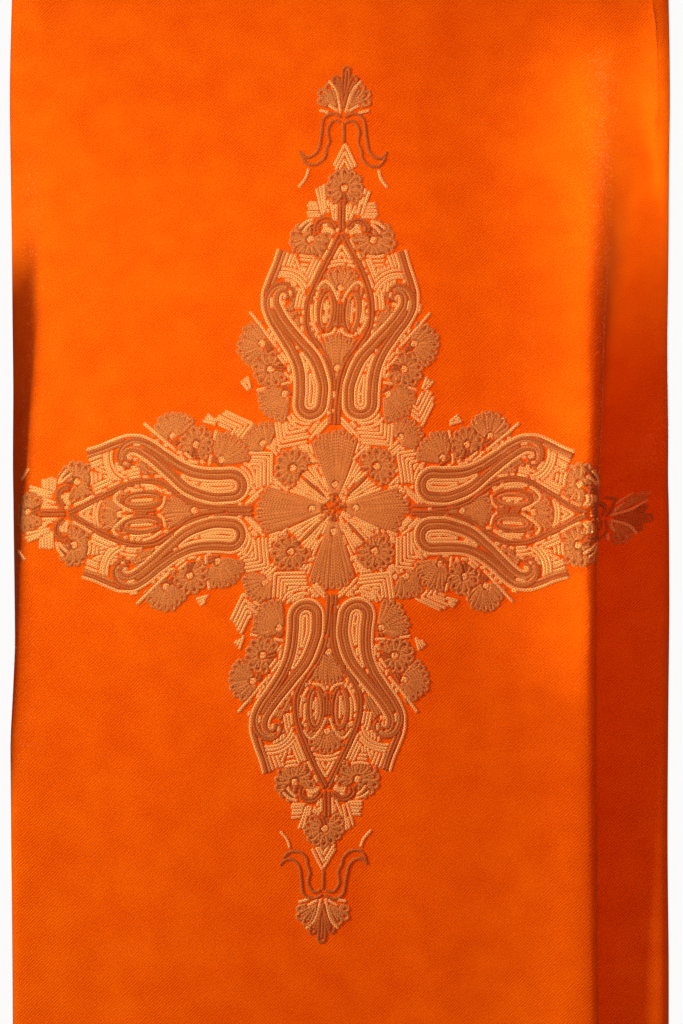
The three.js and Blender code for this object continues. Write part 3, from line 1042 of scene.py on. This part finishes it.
def add_nap(cloth):
    """Loose fibres along the folds, each a thin closed spike that lies nearly flat, pale with painted
    sheen.
    """
    chance = np.random.default_rng(11)
    across, depth = [], []
    for near, far, top, bottom, count in NAP_BANDS:
        across.append(chance.triangular(near, (near + far) / 2, far, count))
        depth.append(chance.uniform(top, bottom, count))
    places = np.concatenate(across) - MEDALLION_ACROSS
    places = places + 1j * (MEDALLION_DEPTH - MEDALLION_UP - np.concatenate(depth))
    roots, normals = cloth.at(places)
    ways = chance.normal(size=roots.shape) + normals * NAP_UPWARD
    ways /= np.linalg.norm(ways, axis=1)[:, None]
    tips = roots + normals * NAP_LIFT + ways * chance.uniform(*NAP_LENGTHS, (len(roots), 1))
    side = np.cross(ways, chance.normal(size=roots.shape))
    side *= NAP_RADIUS / np.linalg.norm(side, axis=1)[:, None]
    other = np.cross(ways, side)
    base = [roots + side * math.cos(angle) + other * math.sin(angle) for angle in NAP_CORNERS]
    points = np.stack((*base, tips), 1).reshape(-1, 3)
    faces = np.array([(0, 2, 1), (0, 1, 3), (1, 2, 3), (2, 0, 3)])
    faces = (np.arange(len(roots))[:, None, None] * 4 + faces).reshape(-1, 3)
    nap = add_mesh("nap", points, faces, rounded=False)
    # Painted sheen: the fibres are coloured much paler than the orange cloth, as if catching the light.
    nap.data.materials.append(plain_material("nap_fibre_painted_sheen", linear(255, 176, 110), 0.8))
    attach(nap, "root")


def add_embroidery(cloth):
    """The rows of stitches, one piece for each arm and colour."""
    materials = {colour: yarn_material(colour) for colour in YARNS}
    groups = {}
    for arm, colour, line in design_rows():
        groups.setdefault((arm, colour), []).append(line)
    for (arm, colour), lines in groups.items():
        piece = build_stitches(f"stitches_{arm}_{colour}", lines, cloth)
        piece.data.materials.append(materials[colour])
        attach(piece, "root")


def wood_material():
    n = Nodes("rod_wood")
    place = n.add("TexCoord").outputs["Object"]
    long_grain = n.add("Mapping", Vector=place, Scale=(5.0, 60.0, 60.0)).outputs[0]
    fine_grain = n.add("Mapping", Vector=place, Scale=(40.0, 900.0, 900.0)).outputs[0]
    grain = n.noise(long_grain, 4.0, 8.0)
    pores = n.noise(fine_grain, 1.0, 3.0)
    colour = n.mix(grain, linear(122, 78, 44), linear(186, 134, 84))
    colour = n.mix(n.math("MULTIPLY", pores, 0.3), colour, linear(84, 50, 26))
    normal = n.bump(n.math("ADD", grain, n.math("MULTIPLY", pores, 0.5)), 0.25, 0.0003)
    return n.surface(Base_Color=colour, Roughness=0.42, Normal=normal, Coat_Weight=0.2,
                     Coat_Roughness=0.3)


def plain_material(name, colour, roughness):
    return Nodes(name).surface(Base_Color=colour, Roughness=roughness)


def add_aimed(name, data, place, target):
    """A camera or a light that looks at a target."""
    obj = bpy.data.objects.new(name, data)
    bpy.context.collection.objects.link(obj)
    obj.location = place
    direction = Vector(target) - obj.location
    obj.rotation_euler = direction.to_track_quat("-Z", "Y").to_euler()
    return obj


def add_camera():
    """A level camera whose picture has the photo's scale at the panel."""
    across = (PHOTO_SIZE[0] / 2 - MEDALLION_PIXEL[0]) * MM_PER_PIXEL * MM
    down = (MEDALLION_DEPTH + (PHOTO_SIZE[1] / 2 - MEDALLION_PIXEL[1]) * MM_PER_PIXEL) * MM
    distance = PHOTO_SIZE[1] * MM_PER_PIXEL * MM * LENS / SENSOR
    data = bpy.data.cameras.new("camera")
    data.lens = LENS
    data.sensor_width = SENSOR
    place = (across, -PANEL_OUT * MM - distance, -down)
    bpy.context.scene.camera = add_aimed("camera", data, place, (across, 0, -down))


# The lights: name, place, target, size, power, colour and spread in degrees. The key light
# leaves the rear strip in the fold's shadow, and the fill has the colour of light off the cloth.
# The pools brighten the upper left, the upper right and the right fold's crest.
PANEL_MIDDLE = (0.0, 0.0, -0.56)
DAYLIGHT = (1.0, 0.97, 0.92)
WARM = (1.0, 0.97, 0.9)
LIGHTS = (
    ("key_soft", (-1.95, -1.42, 0.35), PANEL_MIDDLE, (0.26, 0.6), 8.1, DAYLIGHT, 70),
    ("fill_soft", (0.12, -1.7, 0.1), PANEL_MIDDLE, (0.6, 0.6), 2.7, (1.0, 0.24, 0.18), 70),
    ("left_pool", (0.45, -1.3, -0.1), (-0.17, -0.05, -0.4), (0.1, 0.1), 0.105, WARM, 22),
    ("right_pool", (0.62, -1.15, 0.25), (0.175, -0.03, -0.295), (0.05, 0.05), 0.038, WARM, 8.4),
    ("crest_pool", (-1.3, -0.95, -0.25), (0.143, -0.05, -0.42), (0.03, 0.34), 0.042, WARM, 2.2),
    ("back_soft", (0.3, 1.6, 0.5), (0.0, 0.0, -0.5), (1.0, 1.2), 14.0, (1.0, 0.97, 0.94), 180),
)


def add_light(name, place, target, size, power, colour, spread):
    data = bpy.data.lights.new(name, "AREA")
    data.shape = "RECTANGLE"
    data.spread = math.radians(spread)
    data.size, data.size_y = size
    data.energy = power
    data.color = colour
    add_aimed(name, data, place, target)


# The surround's colours before and behind the shawl, and where the one turns into the other
SURROUND_FRONT = (0.13, 0.055, 0.035, 1.0)
SURROUND_BEHIND = (0.97, 0.96, 0.955, 1.0)
SURROUND_TURN = (0.88, 0.96)


def add_surround():
    """A surround that is near white behind the shawl and dimmer on the side of its face."""
    n = Nodes("surround", "worlds")
    bpy.context.scene.world = n.owner
    place = n.add("TexCoord").outputs["Generated"]
    away = n.add("SeparateXYZ", Vector=place).outputs[1]
    behind = n.add("MapRange", i0=away, i1=SURROUND_TURN[0], i2=SURROUND_TURN[1]).outputs[0]
    colour = n.mix(behind, SURROUND_FRONT, SURROUND_BEHIND)
    n.set(n.tree.nodes["Background"].inputs["Color"], colour)


# The flag: how far out it stands, its outer edge, and height and place of its inner edge
FLAG_OUT = 95
FLAG_OUTER = -350
FLAG_EDGE = ((-330, -240), (-380, -223), (-450, -222), (-510, -227), (-560, -233), (-610, -246))


def add_flag():
    """A black board that keeps the key light off the edge that turns back."""
    points = np.array([(x, -FLAG_OUT, z) for z, inner in FLAG_EDGE for x in (FLAG_OUTER, inner)])
    faces = np.array([(k + 2, k + 3, k + 1, k) for k in range(0, 2 * len(FLAG_EDGE) - 2, 2)])
    flag = add_mesh("flag", points, faces, rounded=False)
    flag.data.materials.append(plain_material("flag_black", (0.01, 0.01, 0.01, 1.0), 1.0))
    flag.visible_camera = False


FLOOR_HALF = 2000.0
FLOOR_BELOW_HEM = 420


def add_room():
    """A pale floor under the hanging shawl, a pale surround, the flag and the lights."""
    corners = np.array([(-1, -1, 0), (1, -1, 0), (1, 1, 0), (-1, 1, 0)]) * FLOOR_HALF
    corners[:, 2] = -HEM_DEPTH - FLOOR_BELOW_HEM
    floor = add_mesh("floor", corners, np.array([[0, 1, 2, 3]]), rounded=False)
    floor.data.materials.append(plain_material("floor_pale", (0.75, 0.74, 0.72, 1.0), 0.8))
    add_flag()
    add_surround()
    for light in LIGHTS:
        add_light(*light)
    bpy.context.scene.view_settings.view_transform = "Standard"


add_camera()
add_room()

shawl = build_shawl()
shawl.data.materials.append(cloth_material())
cloth_nodes = [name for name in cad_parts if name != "rod"]
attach(shawl, "root")
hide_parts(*cloth_nodes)

cloth_map = ClothMap()
add_embroidery(cloth_map)
add_nap(cloth_map)

rod = bpy.data.objects["rod"]
rod.data.materials.clear()
rod.data.materials.append(wood_material())
